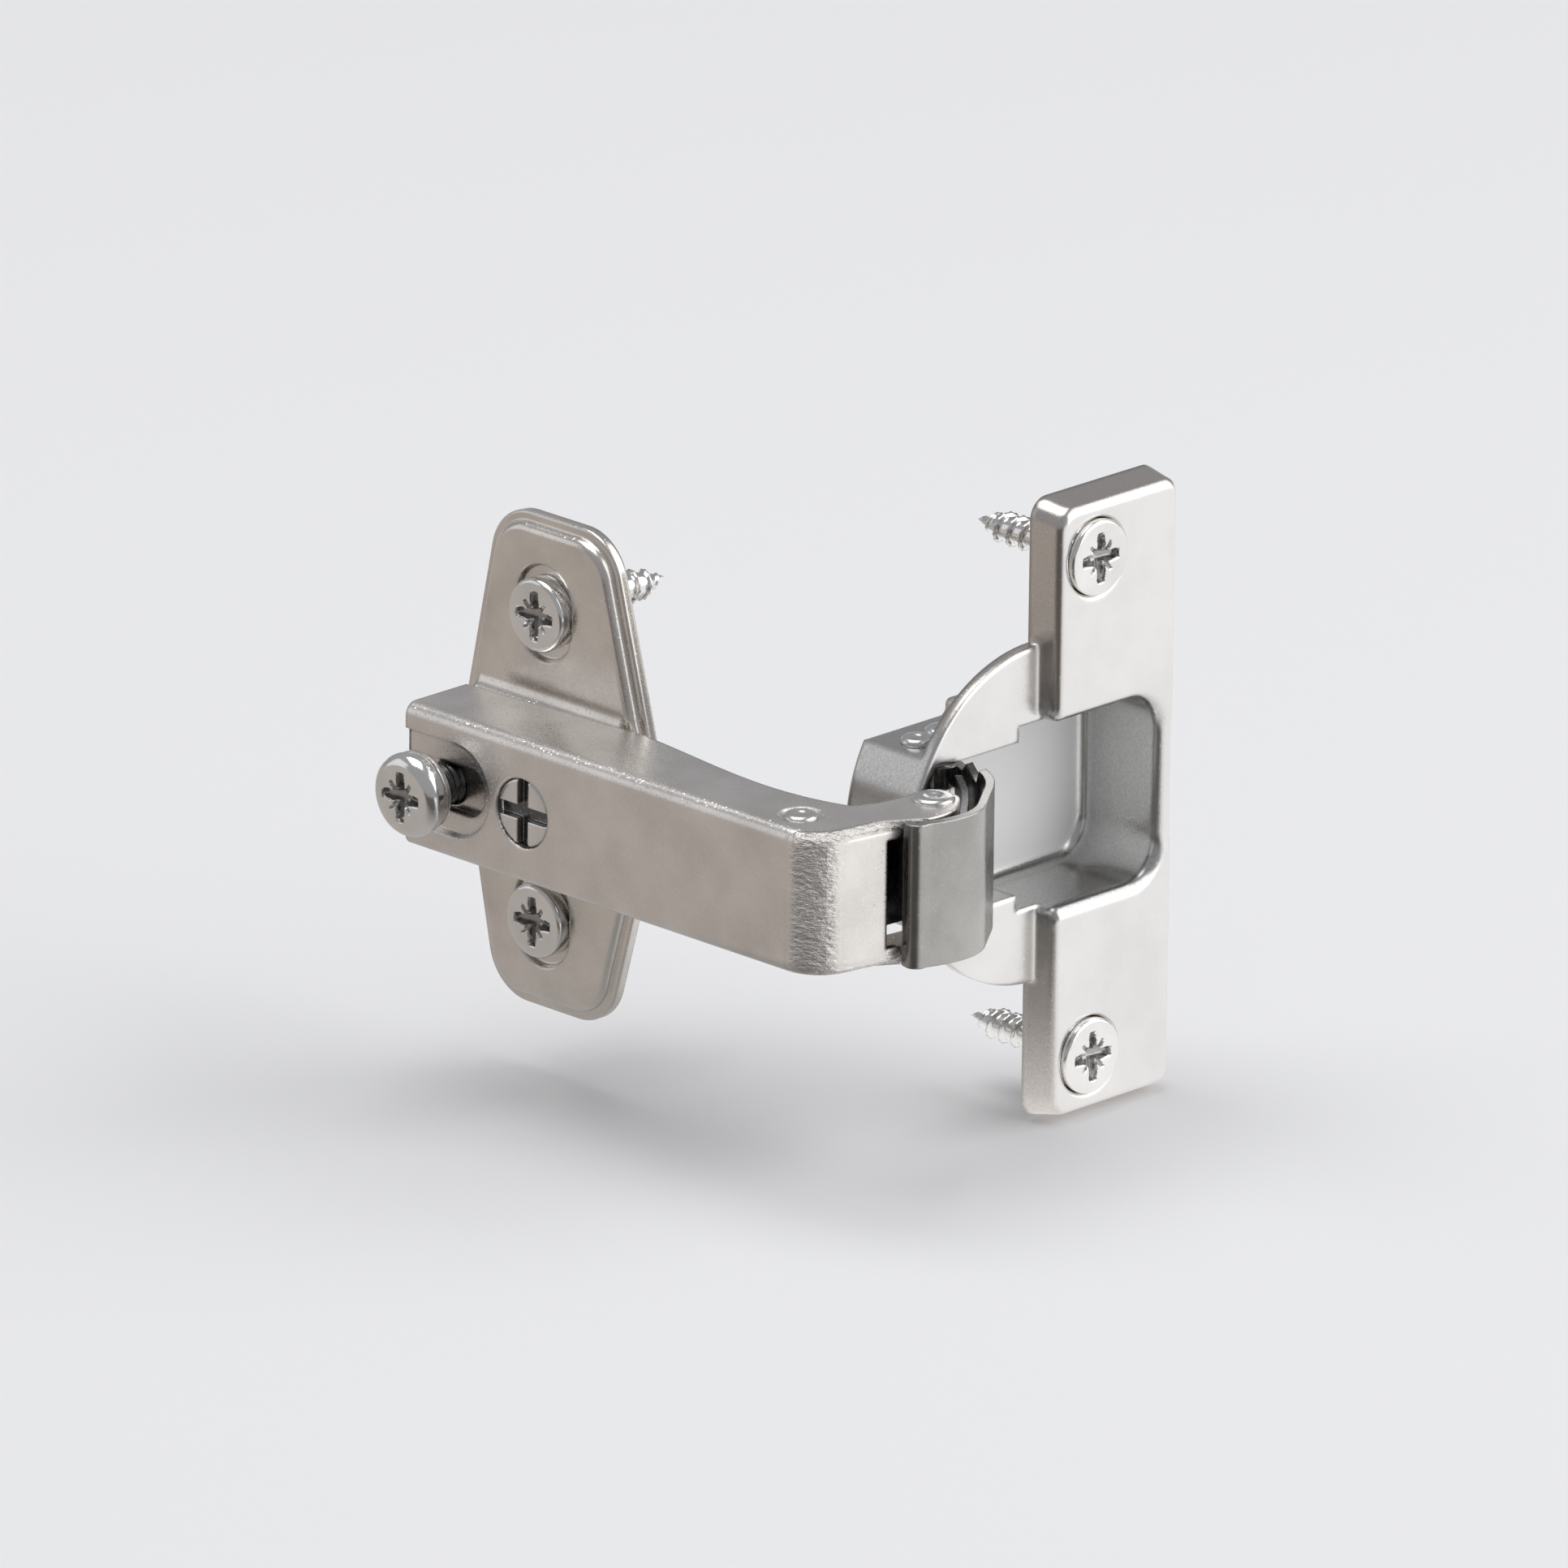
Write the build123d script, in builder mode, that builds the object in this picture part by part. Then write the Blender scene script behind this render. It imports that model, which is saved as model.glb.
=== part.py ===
"""Concealed hinge for a door beside a blind panel, shown fully open.

Millimetres. The origin is the middle of the mounting plate's two screws, on the panel face.
+X runs along the arm towards the door, +Y into the panel and +Z up along the hinge's pins.
The hinge is symmetric about Z = 0.
"""

import os
from math import asin, atan2, cos, hypot, radians, sin, sqrt, tan

from build123d import *

os.makedirs("parts", exist_ok=True)

# Clearances
running = 0.05
slip = 0.1
gap = 0.3

# Mounting plate
plate_screw_spacing = 32.0
plate_end_margin = 9.7
plate_tip_left = -7.4
plate_tip_right = 8.5
plate_mid_left = -12.7
plate_mid_right = 15.5
plate_corner = 5.5
pad_height = 2.1
pad_shoulder = 0.9
plate_brim = 1.0
plate_sheet = 1.1
brim_edge = 0.25
hat_sheet = 1.3
hat_corner = 1.5
hat_root = 1.6
seat_width = 8.0
seat_length = 10.2
seat_depth = 0.8
seat_taper = 20.0
plate_slot_width = 4.4
plate_slot_length = 7.4

# Arm
arm_rear = -7.7
arm_half = 7.45
arm_back = -13.5
arm_sheet = 1.0
arm_fold = 1.3
bend_x = 49.0
bend_radius = 5.0
web_angle = 80.0
web_edge = -4.85
window_half = 5.6
tab_edge = -3.1
tongue_radius = 2.6
tongue_nose = (52.2, -0.9)
tongue_bulge = (52.4, 1.4)
tongue_from = 30.0
tongue_sweep = 150.0
throat = (44.5, -3.7)
throat_middle = (45.8, 0.0)
flange_low = (38.5, -5.2)
flange_dip = (22.7, -4.3)
flange_high = (15.0, -3.4)
flange_rear = -5.1

# Depth slot, its dished seat and the clamp screw
clamp_x = -3.0
dish_half = 4.9
dish_front = 4.0
dish_depth = 0.6
dish_taper = 30.0
slot_half = 2.45
slot_front = 2.9
clamp_lift = 2.6
clamp_head_radius = 4.3
clamp_head_height = 2.6
clamp_crown = 1.2
clamp_collar_radius = 3.9
clamp_collar_height = 0.8
clamp_shank_radius = 2.25
clamp_length = 8.6
clamp_tip = 0.5
clamp_boss = 1.6

# Side screw
side_x = 8.65
side_radius = 3.55
side_neck_radius = 1.7
side_foot_radius = 2.9
side_foot_height = 1.0
side_crown = 0.45
side_slot_width = 1.5
side_slot_depth = 0.9
hat_slot_half = 1.9
hat_slot_rear = 3.4

# Pins: the rear and front arm pins, and the inner and outer cup pins
rear_pin = (42.9, -9.2)
front_pin = (48.6, 3.45)
inner_pin = (38.6, 11.4)
outer_pin = (38.2, 15.2)
rear_pin_radius = 1.0
front_pin_radius = 1.3
rear_head_radius = 1.75
front_head_radius = 2.15
rivet_head_height = 0.55
head_taper = 25.0
dimple_radius = 2.3
dimple_depth = 0.25
dimple_taper = 20.0
cup_pin_radius = 1.0
cup_pin_head_radius = 1.7
cup_pin_head_height = 0.7

# Outer link: a C-shaped strip with two ears on the front pin and two rolled eyes in the cup
link_sheet = 0.9
link_half = 7.4
eye_half = 6.0
ear_sheet = 0.9
ear_radius = 2.2
eye_split_half = 3.6
strip_lip = (51.3, -2.95)
strip_curl = (52.1, -3.15)
strip_points = [(52.9, -2.5), (53.1, -1.35), (53.85, 2.4), (52.6, 6.25), (49.8, 10.05), (45.5, 13.4)]
neck_from = 12.4
neck_notch = [(41.5, 6.0), (42.3, 6.9), (45.0, 5.9), (45.7, 7.5)]

# Inner link: a sickle-shaped strip that reaches round the cup's lip
inner_sheet = 0.8
inner_half = 5.0
inner_neck_half = 3.2
inner_neck_start = 4.4
inner_elbow = (46.5, 1.6)
inner_hook = (44.65, 7.3)
inner_bend = 1.6
rear_eye_offset = (0.66, 0.32)
rear_eye_play = 0.78

# Closing spring: a leaf in the outer link, hooked under the front pin
spring_sheet = 0.8
spring_half = 6.1
spring_hook_half = 4.9
spring_hook_angle = -70.0
spring_points = [(51.0, -0.3), (52.6, 0.6), (52.75, 2.6), (50.7, 5.5), (47.7, 8.8), (42.6, 13.2)]
spring_wide_from = 2.2

# Cup
door_face = 42.28
lip_y = 5.7
cup_radius = 17.5
cup_sheet = 1.0
pocket_half = 9.6
pocket_end_margin = 2.3
pocket_corner = 4.0
pocket_neck_half = 8.0
pocket_neck_length = 14.9
pocket_shoulder = 0.7
floor_x = 35.1
floor_round = 1.5
underside_round = 0.6
mouth_round = 1.4
flange_top = 46.06
flange_sheet = 1.3
flange_left_offset = 0.12
flange_right_margin = 2.6
flange_end_margin = 6.27
flange_corner = 2.2
flange_draft = 11.0
flange_edge = 1.0
wing_sheet = 1.3
cup_screw_offset = 5.53
cup_screw_spacing = 52.0
cup_sink_radius = 4.25
sink_angle = 45.0

# Chipboard screws
screw_radius = 1.75
screw_length = 16.0
screw_point = 3.5
point_taper = 24.0
cup_head_radius = 3.9
cup_head_height = 0.8
cup_head_sink = 0.2
cup_head_crown = 0.4
plate_head_radius = 3.8
plate_head_height = 2.1
plate_head_crown = 0.5
plate_neck_radius = 2.0
plate_neck_length = 1.6
cross_width = 1.1
cross_span = 4.6
cross_depth = 1.4
cross_taper = 12.0
rib_width = 0.6
rib_span = 3.4
rib_depth = 0.5

# Sizes worked out from the values above
arm_inner_half = arm_half - arm_sheet
arm_inner_back = arm_back + arm_sheet
dish_floor = arm_back + dish_depth
plate_half_length = plate_screw_spacing / 2 + plate_end_margin
hat_top = dish_floor + arm_sheet + running
hat_half = arm_inner_half - slip
hat_foot = (hat_half + hat_root) / plate_half_length
hat_inset = plate_brim + pad_shoulder + gap
hat_front = plate_mid_right + (plate_tip_right - plate_mid_right) * hat_foot - hat_inset
hat_rear = plate_mid_left + (plate_tip_left - plate_mid_left) * hat_foot + hat_inset
web_direction = (cos(radians(web_angle)), sin(radians(web_angle)))
ear_outer = arm_inner_half - slip
cup_centre_y = lip_y + cup_radius
pocket_end = cup_centre_y + cup_radius - pocket_end_margin
pocket_neck_end = lip_y + pocket_neck_length
pocket_wall_half = pocket_neck_half + cup_sheet

# The pocket's end corners, rounded no more than the cup's circle leaves room for
bore_radius = cup_radius - cup_sheet
end_reach = pocket_end - cup_centre_y
corner_room = end_reach + pocket_half - bore_radius
widest_corner = corner_room - sqrt(2 * (bore_radius - end_reach) * (bore_radius - pocket_half))
end_corner = min(pocket_corner, widest_corner - slip / 2)

# The flange's place round the cup
flange_left = cup_centre_y - flange_left_offset
flange_right = pocket_end + flange_right_margin
flange_half = cup_screw_spacing / 2 + flange_end_margin
cup_screw_y = cup_centre_y + cup_screw_offset
rear_flange = flange_top - flange_sheet
wing_top = door_face + wing_sheet


def along_web(x, y, distance):
    """The point a distance along the web from a point on its line."""
    return (x + distance * web_direction[0], y + distance * web_direction[1])


def tangent_point(start, centre, radius, side):
    """Where a line from a start point touches a circle, on its left (1) or right (-1)."""
    reach = hypot(centre[0] - start[0], centre[1] - start[1])
    heading = atan2(centre[1] - start[1], centre[0] - start[0]) + side * asin(radius / reach)
    run = sqrt(reach**2 - radius**2)
    return (start[0] + run * cos(heading), start[1] + run * sin(heading))


def cross_recess(top):
    """The hollow of a cross recess with four small ribs between its wings, sunk from a plane."""
    with BuildPart() as recess:
        with BuildSketch(top):
            Rectangle(cross_span, cross_width)
            Rectangle(cross_width, cross_span)
        extrude(amount=-cross_depth, taper=cross_taper)
        with BuildSketch(top):
            Rectangle(rib_span, rib_width, rotation=45)
            Rectangle(rib_width, rib_span, rotation=45)
        extrude(amount=-rib_depth, taper=cross_taper)
    return recess.part


def chipboard_screw(seat, head_radius, head_height, crown, under_radius, under_depth, under_taper):
    """A screw with its head on the seat plane, and a neck or cone, its shank and its point below it."""
    recess = cross_recess(seat.offset(head_height))
    with BuildPart() as screw:
        with BuildSketch(seat):
            Circle(head_radius)
        extrude(amount=head_height)
        fillet(screw.edges().filter_by(GeomType.CIRCLE).sort_by(Axis(seat.origin, seat.z_dir))[-1], crown)
        with BuildSketch(seat):
            Circle(under_radius)
        extrude(amount=-under_depth, taper=under_taper)
        with BuildSketch(seat):
            Circle(screw_radius)
        extrude(amount=screw_point - screw_length)
        with BuildSketch(seat.offset(screw_point - screw_length)):
            Circle(screw_radius)
        extrude(amount=-screw_point, taper=point_taper)
        add(recess, mode=Mode.SUBTRACT)
    return screw.part


def through_pin(centre, radius, half_length, head_radius, head_height):
    """A pin along Z with a domed rivet head on each end."""
    with BuildPart() as pin:
        with BuildSketch(Plane.XY):
            with Locations(centre):
                Circle(radius)
        extrude(amount=half_length, both=True)
        for side in (1, -1):
            with BuildSketch(Plane.XY.offset(side * half_length)):
                with Locations(centre):
                    Circle(head_radius)
            extrude(amount=side * head_height, taper=head_taper)
    return pin.part


def pocket_plan(grow, shoulder):
    """The pocket's outline in Y and Z, grown outwards by a distance, with rounded shoulders if asked."""
    with BuildSketch() as outline:
        with Locations((cup_centre_y, 0)):
            Circle(bore_radius + grow)
        with Locations((pocket_end + grow, 0)):
            Rectangle(
                4 * cup_radius,
                2 * (pocket_half + grow),
                align=(Align.MAX, Align.CENTER),
                mode=Mode.INTERSECT,
            )
        fillet(outline.vertices().filter_by(lambda corner: corner.X > cup_centre_y), end_corner + grow)
        with Locations((pocket_neck_end - grow, pocket_neck_half + grow)):
            Rectangle(2 * cup_radius, cup_radius, align=(Align.MAX, Align.MIN), mode=Mode.SUBTRACT)
        with Locations((pocket_neck_end - grow, -pocket_neck_half - grow)):
            Rectangle(2 * cup_radius, cup_radius, align=(Align.MAX, Align.MAX), mode=Mode.SUBTRACT)
        if shoulder > 0:
            shoulder_y = pocket_neck_end - grow
            fillet(outline.vertices().filter_by_position(Axis.X, shoulder_y, shoulder_y), shoulder)
    return outline.sketch


# Mounting plate: a pressed sheet with a raised pad and a hat that carries the arm
with BuildPart() as mounting_plate:
    with BuildSketch(Plane.XZ) as pad_outline:
        with BuildLine():
            FilletPolyline(
                (plate_mid_right, 0),
                (plate_tip_right, plate_half_length),
                (plate_tip_left, plate_half_length),
                (plate_mid_left, 0),
                (plate_tip_left, -plate_half_length),
                (plate_tip_right, -plate_half_length),
                radius=plate_corner,
                close=True,
            )
        make_face()
    extrude(amount=plate_sheet)
    fillet(mounting_plate.faces().sort_by(Axis.Y)[0].edges(), brim_edge)
    with BuildSketch(Plane.XZ):
        offset(pad_outline.sketch, amount=-plate_brim)
    extrude(amount=pad_height)
    fillet(mounting_plate.faces().sort_by(Axis.Y)[0].edges(), pad_shoulder)
    with BuildSketch(Plane.XZ):
        offset(pad_outline.sketch, amount=-plate_brim - plate_sheet)
    extrude(amount=pad_height - plate_sheet, mode=Mode.SUBTRACT)
    with BuildSketch(Plane.XZ):
        with BuildLine():
            Polyline(
                (hat_rear, -hat_half),
                (hat_front, -hat_half),
                (hat_front, hat_half),
                (hat_rear, hat_half),
                close=True,
            )
        make_face()
    extrude(amount=-hat_top)
    hat_long_edges = mounting_plate.edges().filter_by(Axis.X).filter_by_position(Axis.Y, hat_top, hat_top)
    fillet(hat_long_edges, hat_corner)
    hat_feet = mounting_plate.edges().filter_by(Axis.X).filter_by_position(Axis.Y, -pad_height, -pad_height)
    fillet(hat_feet, hat_root)
    with BuildSketch(Plane.XZ):
        with Locations(((hat_rear + hat_front) / 2, 0)):
            Rectangle(hat_front - hat_rear + 2 * gap, 2 * (hat_half - hat_sheet))
    extrude(amount=-hat_top - hat_sheet, mode=Mode.SUBTRACT)
    with BuildSketch(Plane.XZ.offset(pad_height)):
        with Locations((0, plate_screw_spacing / 2), (0, -plate_screw_spacing / 2)):
            SlotOverall(seat_length, seat_width, rotation=90)
    extrude(amount=-seat_depth, taper=seat_taper, mode=Mode.SUBTRACT)
    with BuildSketch(Plane.XZ):
        with Locations((0, plate_screw_spacing / 2), (0, -plate_screw_spacing / 2)):
            SlotOverall(plate_slot_length, plate_slot_width, rotation=90)
    extrude(amount=pad_height, mode=Mode.SUBTRACT)
    with BuildSketch(Plane.XZ.offset(-hat_top - hat_sheet)):
        with Locations((clamp_x, 0)):
            Circle(clamp_shank_radius + hat_sheet)
    extrude(amount=-clamp_boss)
    with BuildSketch(Plane.XZ.offset(-hat_top)):
        with Locations((clamp_x, 0)):
            Circle(clamp_shank_radius + running)
        with Locations((side_x - hat_slot_rear, 0)):
            Circle(hat_slot_half)
        with Locations(((side_x - hat_slot_rear + hat_front + gap) / 2, 0)):
            Rectangle(hat_front + gap - side_x + hat_slot_rear, 2 * hat_slot_half)
    extrude(amount=-hat_sheet - clamp_boss, mode=Mode.SUBTRACT)
mounting_plate.part.label = "mounting_plate"
export_step(mounting_plate.part, "parts/mounting_plate.step")

# Plate screws: one above and one below the arm
for place, height in (("upper", plate_screw_spacing / 2), ("lower", -plate_screw_spacing / 2)):
    plate_seat = Plane((0, seat_depth - pad_height, height), x_dir=(1, 0, 0), z_dir=(0, -1, 0))
    plate_screw = chipboard_screw(
        plate_seat,
        plate_head_radius,
        plate_head_height,
        plate_head_crown,
        plate_neck_radius,
        plate_neck_length,
        0,
    )
    plate_screw.label = f"plate_screw_{place}"
    export_step(plate_screw, f"parts/plate_screw_{place}.step")

# Arm: a channel with a bent front web, two tongues for the front pin and a slotted, dished back
bend_run = bend_radius * tan(radians(web_angle / 2))
bend_start = (bend_x - bend_run, arm_back)
bend_end = along_web(bend_x, arm_back, bend_run)
web_end = along_web(bend_x, arm_back, (tab_edge - arm_back) / web_direction[1])
inner_bend_start = (bend_start[0], arm_inner_back)
inner_bend_end = (bend_end[0] - arm_sheet * web_direction[1], bend_end[1] + arm_sheet * web_direction[0])
with BuildPart() as hinge_arm:
    with BuildSketch(Plane.XY):
        with BuildLine():
            Line((arm_rear, arm_back), bend_start)
            TangentArc(bend_start, bend_end, tangent=(1, 0))
            Line(bend_end, web_end)
            Line(web_end, tongue_nose)
            tip = CenterArc(front_pin, tongue_radius, tongue_from, tongue_sweep)
            ThreePointArc(tongue_nose, tongue_bulge, tip @ 0)
            ThreePointArc(tip @ 1, throat_middle, throat)
            Spline(throat, flange_low, flange_dip, flange_high)
            Line(flange_high, (arm_rear, flange_rear))
            Line((arm_rear, flange_rear), (arm_rear, arm_back))
        make_face()
    extrude(amount=arm_half, both=True)
    side_edges = hinge_arm.edges().filter_by(lambda edge: abs(edge.center().Z) > arm_half - slip)
    folds = side_edges.filter_by(lambda edge: edge.center().X > 0 and edge.center().Y < flange_low[1] - gap)
    fillet(folds, arm_fold)
    with BuildSketch(Plane.XY):
        with BuildLine():
            Line((arm_rear - gap, arm_inner_back), inner_bend_start)
            TangentArc(inner_bend_start, inner_bend_end, tangent=(1, 0))
            inner_web_top = along_web(*inner_bend_end, bend_run + arm_half * 2)
            Polyline(
                inner_bend_end,
                inner_web_top,
                (arm_rear - gap, inner_web_top[1]),
                (arm_rear - gap, arm_inner_back),
            )
        make_face()
    extrude(amount=arm_inner_half, both=True, mode=Mode.SUBTRACT)
    for cut_edge, cut_half in ((web_edge, window_half), (tab_edge - slip, arm_inner_half)):
        with BuildSketch(Plane.XY):
            with Locations((bend_x, cut_edge)):
                Rectangle(
                    2 * bend_x - 2 * throat[0],
                    4 * tongue_radius + front_pin[1],
                    align=(Align.CENTER, Align.MIN),
                )
        extrude(amount=cut_half, both=True, mode=Mode.SUBTRACT)
    with BuildSketch(Plane.XZ.offset(-arm_inner_back)):
        with Locations((dish_front - dish_half, 0)):
            Circle(dish_half + arm_sheet / 2)
        with Locations(((arm_rear + dish_front - dish_half) / 2, 0)):
            Rectangle(dish_front - dish_half - arm_rear, 2 * dish_half + arm_sheet)
    extrude(amount=-dish_depth, taper=dish_taper)
    with BuildSketch(Plane.XZ.offset(-arm_back)):
        with Locations((dish_front - dish_half, 0)):
            Circle(dish_half)
        with Locations(((arm_rear - gap + dish_front - dish_half) / 2, 0)):
            Rectangle(dish_front - dish_half - arm_rear + gap, 2 * dish_half)
    extrude(amount=-dish_depth, taper=dish_taper, mode=Mode.SUBTRACT)
    with BuildSketch(Plane.XZ.offset(-arm_back)):
        with Locations((slot_front - slot_half, 0)):
            Circle(slot_half)
        with Locations(((arm_rear - gap + slot_front - slot_half) / 2, 0)):
            Rectangle(slot_front - slot_half - arm_rear + gap, 2 * slot_half)
        with Locations((side_x, 0)):
            Circle(side_radius + running)
    extrude(amount=-arm_sheet - dish_depth - slip, mode=Mode.SUBTRACT)
    for side in (1, -1):
        with BuildSketch(Plane.XY.offset(side * arm_half)):
            with Locations(rear_pin):
                Circle(dimple_radius)
        extrude(amount=-side * dimple_depth, taper=dimple_taper, mode=Mode.SUBTRACT)
    with BuildSketch(Plane.XY):
        with Locations(rear_pin):
            Circle(rear_pin_radius)
        with Locations(front_pin):
            Circle(front_pin_radius)
    extrude(amount=arm_half, both=True, mode=Mode.SUBTRACT)
hinge_arm.part.label = "hinge_arm"
export_step(hinge_arm.part, "parts/hinge_arm.step")

# Clamp screw: a pan head over a collar, standing off the dished seat as a loosened screw does
clamp_plane = Plane((clamp_x, dish_floor - clamp_lift, 0), x_dir=(1, 0, 0), z_dir=(0, -1, 0))
clamp_recess = cross_recess(clamp_plane.offset(clamp_collar_height + clamp_head_height))
with BuildPart() as clamp_screw:
    with BuildSketch(clamp_plane):
        Circle(clamp_collar_radius)
    extrude(amount=clamp_collar_height)
    with BuildSketch(clamp_plane.offset(clamp_collar_height)):
        Circle(clamp_head_radius)
    extrude(amount=clamp_head_height)
    fillet(clamp_screw.edges().filter_by(GeomType.CIRCLE).sort_by(Axis.Y)[0], clamp_crown)
    with BuildSketch(clamp_plane):
        Circle(clamp_shank_radius)
    extrude(amount=-clamp_length)
    chamfer(clamp_screw.edges().filter_by(GeomType.CIRCLE).sort_by(Axis.Y)[-1], clamp_tip)
    add(clamp_recess, mode=Mode.SUBTRACT)
clamp_screw.part.label = "clamp_screw"
export_step(clamp_screw.part, "parts/clamp_screw.step")

# Side screw: its foot runs in the hat's open slot and lifts or lowers the arm's front
side_plane = Plane((side_x, arm_back + slip, 0), x_dir=(1, 0, 0), z_dir=(0, -1, 0))
with BuildPart() as side_screw:
    with BuildSketch(side_plane):
        Circle(side_radius)
    extrude(amount=-(hat_top - arm_back - slip - gap))
    fillet(side_screw.edges().filter_by(GeomType.CIRCLE).sort_by(Axis.Y)[0], side_crown)
    with BuildSketch(side_plane):
        Circle(side_neck_radius)
    extrude(amount=-(hat_top + hat_sheet + gap + side_foot_height - arm_back - slip))
    with BuildSketch(side_plane.offset(-(hat_top + hat_sheet + gap - arm_back - slip))):
        Circle(side_foot_radius)
    extrude(amount=-side_foot_height)
    with BuildSketch(side_plane):
        Rectangle(2 * side_radius, side_slot_width)
        Rectangle(side_slot_width, 2 * side_radius)
    extrude(amount=-side_slot_depth, mode=Mode.SUBTRACT)
side_screw.part.label = "side_screw"
export_step(side_screw.part, "parts/side_screw.step")

# Arm pins, riveted over on the outside of the arm
rear_seat = arm_half - dimple_depth
arm_pin_rear = through_pin(rear_pin, rear_pin_radius, rear_seat, rear_head_radius, rivet_head_height)
arm_pin_rear.label = "arm_pin_rear"
export_step(arm_pin_rear, "parts/arm_pin_rear.step")
arm_pin_front = through_pin(front_pin, front_pin_radius, arm_half, front_head_radius, rivet_head_height)
arm_pin_front.label = "arm_pin_front"
export_step(arm_pin_front, "parts/arm_pin_front.step")

# Outer link: the wide strip, its narrow neck, two rolled eyes and two ears on the front pin
outer_eye_radius = cup_pin_radius + running + link_sheet
strip_end = tangent_point(strip_points[-1], outer_pin, outer_eye_radius - link_sheet / 2, -1)
with BuildPart() as outer_link:
    with BuildSketch(Plane.XY):
        with BuildLine():
            stretch = Line(strip_lip, strip_curl)
            for point in strip_points:
                stretch = TangentArc(stretch @ 1, point, tangent=stretch % 1)
            Line(stretch @ 1, strip_end)
        trace(line_width=link_sheet)
    extrude(amount=link_half, both=True)
    with BuildSketch(Plane.XZ.offset(-neck_from)):
        with BuildLine():
            Polyline(
                (0, neck_notch[0][1]),
                *neck_notch,
                (neck_notch[-1][0], 2 * link_half),
                (0, 2 * link_half),
                close=True,
            )
        make_face()
        mirror(about=Plane.XY)
    extrude(amount=-2 * outer_pin[1], mode=Mode.SUBTRACT)
    with BuildSketch(Plane.XY):
        with Locations(outer_pin):
            Circle(outer_eye_radius)
    extrude(amount=eye_half, both=True)
    with BuildSketch(Plane.XY):
        with Locations((outer_pin[0] + 2 * outer_eye_radius - gap, outer_pin[1])):
            Rectangle(8 * outer_eye_radius, 4 * outer_eye_radius, align=(Align.MAX, Align.CENTER))
    extrude(amount=eye_split_half, both=True, mode=Mode.SUBTRACT)
    with BuildSketch(Plane.XY):
        with Locations(outer_pin):
            Circle(cup_pin_radius + running)
    extrude(amount=link_half, both=True, mode=Mode.SUBTRACT)
    for side in (1, -1):
        with BuildSketch(Plane.XY.offset(side * ear_outer)):
            with Locations(front_pin):
                Circle(ear_radius)
            with BuildLine():
                Polyline(front_pin, strip_lip, strip_curl, strip_points[0], strip_points[1], front_pin)
            make_face()
            with Locations(front_pin):
                Circle(front_pin_radius + running, mode=Mode.SUBTRACT)
        extrude(amount=-side * ear_sheet)
outer_link.part.label = "outer_link"
export_step(outer_link.part, "parts/outer_link.step")

# Inner link: a tight rolled eye in the cup, the hooked strip and an eye with play on the rear pin
rear_eye_centre = (rear_pin[0] + rear_eye_offset[0], rear_pin[1] + rear_eye_offset[1])
rear_eye_hole = rear_pin_radius + rear_eye_play
inner_eye_hole = cup_pin_radius + running
with BuildPart() as inner_link:
    with BuildSketch(Plane.XY):
        with BuildLine():
            FilletPolyline(
                tangent_point(inner_elbow, rear_eye_centre, rear_eye_hole + inner_sheet / 2, 1),
                inner_elbow,
                inner_hook,
                tangent_point(inner_hook, inner_pin, inner_eye_hole + inner_sheet / 2, 1),
                radius=inner_bend,
            )
        trace(line_width=inner_sheet)
        with Locations(rear_eye_centre):
            Circle(rear_eye_hole + inner_sheet)
        with Locations(inner_pin):
            Circle(inner_eye_hole + inner_sheet)
        with Locations(rear_eye_centre):
            Circle(rear_eye_hole, mode=Mode.SUBTRACT)
        with Locations(inner_pin):
            Circle(inner_eye_hole, mode=Mode.SUBTRACT)
    extrude(amount=inner_half, both=True)
    with BuildSketch(Plane.YZ):
        with BuildLine():
            Polyline(
                (inner_neck_start, inner_half),
                (inner_neck_start + inner_half - inner_neck_half, inner_neck_half),
                (2 * outer_pin[1], inner_neck_half),
                (2 * outer_pin[1], 2 * inner_half),
                (inner_neck_start, 2 * inner_half),
                close=True,
            )
        make_face()
        mirror(about=Plane.XZ)
    extrude(amount=2 * bend_x, mode=Mode.SUBTRACT)
inner_link.part.label = "inner_link"
export_step(inner_link.part, "parts/inner_link.step")

# Closing spring: a wide leaf above, a narrow hook under the front pin below
hook_radius = front_pin_radius + running + spring_sheet / 2
hook_turn = radians(spring_hook_angle)
hook_end = (front_pin[0] + hook_radius * cos(hook_turn), front_pin[1] + hook_radius * sin(hook_turn))
with BuildPart() as closing_spring:
    with BuildSketch(Plane.XY):
        with BuildLine():
            Spline(hook_end, *spring_points)
        trace(line_width=spring_sheet)
    extrude(amount=spring_half, both=True)
    with BuildSketch(Plane.XZ.offset(-spring_wide_from)):
        Rectangle(4 * bend_x, 4 * spring_half)
        Rectangle(4 * bend_x, 2 * spring_hook_half, mode=Mode.SUBTRACT)
    extrude(amount=4 * tongue_radius, mode=Mode.SUBTRACT)
closing_spring.part.label = "closing_spring"
export_step(closing_spring.part, "parts/closing_spring.step")

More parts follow.
